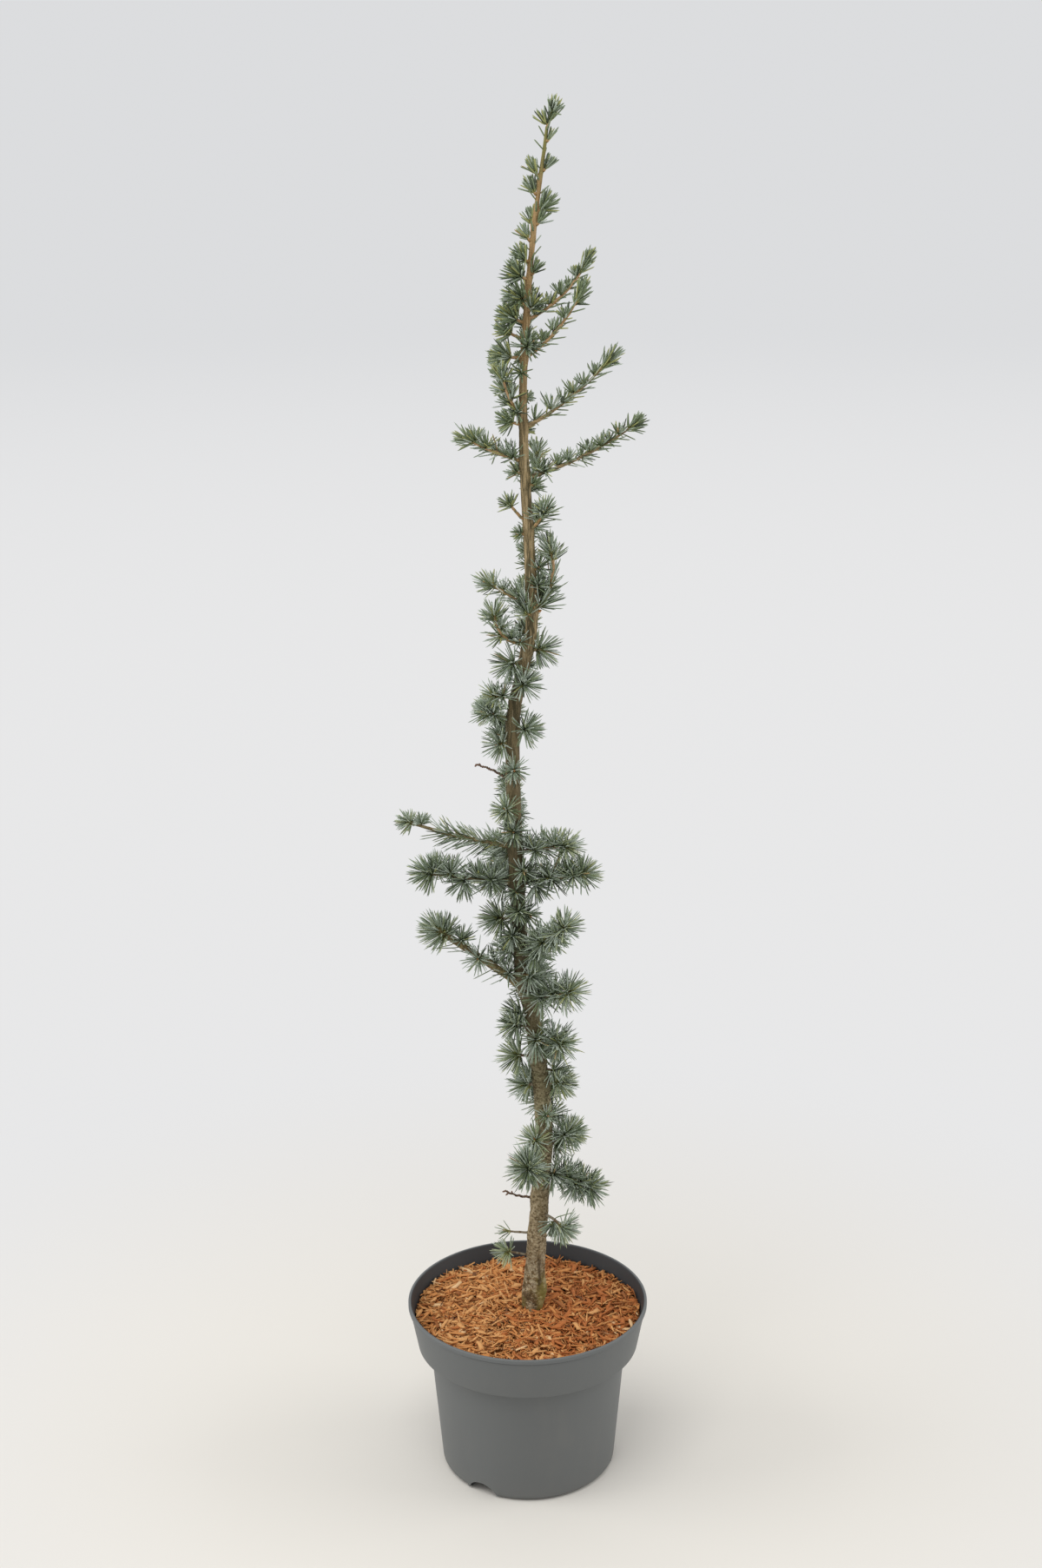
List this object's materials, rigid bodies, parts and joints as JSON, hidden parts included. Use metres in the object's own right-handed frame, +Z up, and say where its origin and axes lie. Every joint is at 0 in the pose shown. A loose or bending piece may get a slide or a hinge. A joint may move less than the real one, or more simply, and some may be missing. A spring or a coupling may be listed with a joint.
{
  "type": "potted young cedar of lebanon",
  "caption": "Young conifer with a slim trunk, short side shoots of blue-green needles and bare lower stem, in a round nursery pot filled with bark mulch.",
  "frame": {"origin": "centre of the pot's flat underside", "axes": "+Z up the trunk, -Y to the front, +X to the right seen from the front"},
  "size_m": [0.2304, 0.228, 1.2615],
  "materials": {
    "pot": "matte slate grey moulded plastic",
    "mulch": "loose orange-brown shredded bark",
    "bark": "grey-brown young bark with fine wrinkles",
    "foliage": "blue-green needles in rosettes on tan twigs"
  },
  "bodies": {
    "root": {"bough_left_10": "bark", "bough_left_12": "bark", "bough_left_9": "bark", "bough_right_4": "bark", "bough_right_5": "bark", "dead_twig_lower": "bark", "dead_twig_upper": "bark", "foliage_back_1": "foliage", "foliage_back_10": "foliage", "foliage_back_11": "foliage", "foliage_back_2": "foliage", "foliage_back_3": "foliage", "foliage_back_4": "foliage", "foliage_back_5": "foliage", "foliage_back_6": "foliage", "foliage_back_7": "foliage", "foliage_back_8": "foliage", "foliage_back_9": "foliage", "foliage_front_1": "foliage", "foliage_front_2": "foliage", "foliage_front_3": "foliage", "foliage_front_4": "foliage", "foliage_front_5": "foliage", "foliage_front_6": "foliage", "foliage_leader": "foliage", "foliage_left_1": "foliage", "foliage_left_10": "foliage", "foliage_left_11": "foliage", "foliage_left_12": "foliage", "foliage_left_13": "foliage", "foliage_left_14": "foliage", "foliage_left_15": "foliage", "foliage_left_2": "foliage", "foliage_left_3": "foliage", "foliage_left_4": "foliage", "foliage_left_5": "foliage", "foliage_left_6": "foliage", "foliage_left_7": "foliage", "foliage_left_8": "foliage", "foliage_left_9": "foliage", "foliage_right_1": "foliage", "foliage_right_10": "foliage", "foliage_right_11": "foliage", "foliage_right_12": "foliage", "foliage_right_13": "foliage", "foliage_right_14": "foliage", "foliage_right_15": "foliage", "foliage_right_16": "foliage", "foliage_right_17": "foliage", "foliage_right_2": "foliage", "foliage_right_3": "foliage", "foliage_right_4": "foliage", "foliage_right_5": "foliage", "foliage_right_6": "foliage", "foliage_right_7": "foliage", "foliage_right_8": "foliage", "foliage_right_9": "foliage", "mulch": "mulch", "pot": "pot", "trunk": "bark"}
  },
  "joints": []
}
